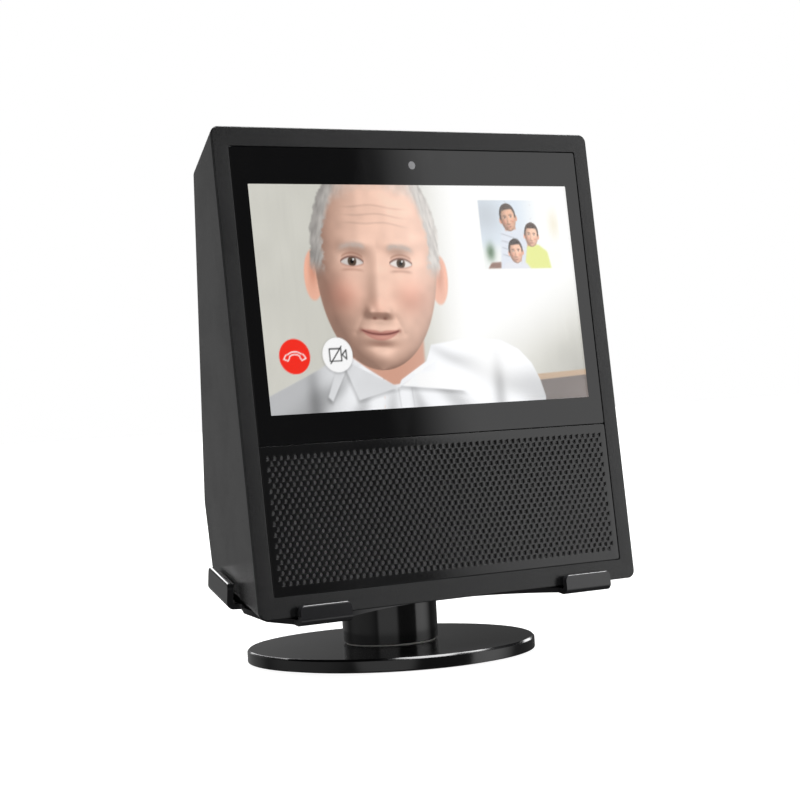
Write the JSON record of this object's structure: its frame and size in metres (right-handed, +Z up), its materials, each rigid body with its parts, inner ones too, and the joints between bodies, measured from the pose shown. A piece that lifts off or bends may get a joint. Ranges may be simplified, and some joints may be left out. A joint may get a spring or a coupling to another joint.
{
  "type": "smart display",
  "caption": "Wedge-shaped smart display with a lit touchscreen and perforated speaker grille, held in a lipped metal cradle on a round swivel stand.",
  "frame": {"origin": "centre of the stand's underside, on the swivel axis", "axes": "+Z up along the swivel axis, the screen faces -Y, +X to the right of someone looking at the screen"},
  "size_m": [0.1866, 0.124, 0.2219],
  "materials": {
    "cabinet_plastic": "fine spark-eroded texture, satin black",
    "black_glass": "clear cover glass, printed black behind its border",
    "screen": "lit colour screen",
    "grille_plastic": "semi-gloss black, perforated",
    "black_cloth": "fine acoustic mesh",
    "foam": "closed-cell foam",
    "stand_lacquer": "gloss black lacquer on steel",
    "zinc_steel": "zinc-plated",
    "dark_steel": "black oxide",
    "aluminium": "plain",
    "magnet_steel": "dark plated",
    "paper_cone": "pressed paper",
    "rubber": "matte",
    "board_green": "solder mask",
    "inner_plastic": "plain moulded",
    "bronze": "sintered",
    "nylon": "natural",
    "contact_brass": "plated",
    "lens_glass": "coated",
    "button_plastic": "satin",
    "wire_sleeve": "flexible sleeve",
    "flat_flex": "polyimide film"
  },
  "bodies": {
    "base": {"base_disc": "stand_lacquer", "base_foot_pad": "rubber", "pivot_bush": "bronze", "thrust_washer": "nylon"},
    "turntable": {"cradle_tray": "stand_lacquer", "tray_screws": "dark_steel", "lip_pads": "rubber", "post": "stand_lacquer", "post_cap": "dark_steel", "pivot_bolt": "zinc_steel", "bolt_nut": "zinc_steel", "spring_washer": "zinc_steel"},
    "display": {"front_frame": "cabinet_plastic", "rear_housing": "cabinet_plastic", "cover_glass": "black_glass", "glass_gasket": "foam", "lcd_panel": "screen", "backlight_unit": "inner_plastic", "display_bracket": "zinc_steel", "bracket_screws": "dark_steel", "speaker_grille": "grille_plastic", "acoustic_cloth": "black_cloth", "speaker_box": "inner_plastic", "left_speaker_basket": "dark_steel", "left_speaker_magnet": "magnet_steel", "left_speaker_surround": "rubber", "left_speaker_cone": "paper_cone", "right_speaker_basket": "dark_steel", "right_speaker_magnet": "magnet_steel", "right_speaker_surround": "rubber", "right_speaker_cone": "paper_cone", "main_board": "board_green", "board_standoffs": "contact_brass", "board_screws": "dark_steel", "heat_spreader": "aluminium", "camera_module": "inner_plastic", "camera_lens": "lens_glass", "light_sensor": "lens_glass", "button_board": "board_green", "button_board_posts": "inner_plastic", "power_jack": "inner_plastic", "power_jack_pin": "contact_brass", "power_lead": "wire_sleeve", "speaker_leads": "wire_sleeve", "display_ribbon": "flat_flex", "wifi_antennas": "board_green", "housing_screws": "dark_steel", "cabinet_feet": "rubber"},
    "microphone_key": {"microphone_button": "button_plastic"},
    "volume_down_key": {"volume_down_button": "button_plastic"},
    "volume_up_key": {"volume_up_button": "button_plastic"}
  },
  "joints": [
    {"name": "stand_swivel", "type": "hinge", "parent": "base", "child": "turntable", "pos_m": [0, 0, 0], "axis": [0, 0, 1], "continuous": true},
    {"name": "display_lift", "type": "slide", "parent": "turntable", "child": "display", "axis": [0, 0.0958, 0.9954], "range_m": [0, 0.03]},
    {"name": "microphone_press", "type": "slide", "parent": "display", "child": "microphone_key", "axis": [0, 0.3502, 0.9367], "range_m": [-0.0006, 0], "stiffness_N_per_m": 1500},
    {"name": "volume_down_press", "type": "slide", "parent": "display", "child": "volume_down_key", "axis": [0, 0.3502, 0.9367], "range_m": [-0.0006, 0], "stiffness_N_per_m": 1500},
    {"name": "volume_up_press", "type": "slide", "parent": "display", "child": "volume_up_key", "axis": [0, 0.3502, 0.9367], "range_m": [-0.0006, 0], "stiffness_N_per_m": 1500}
  ]
}
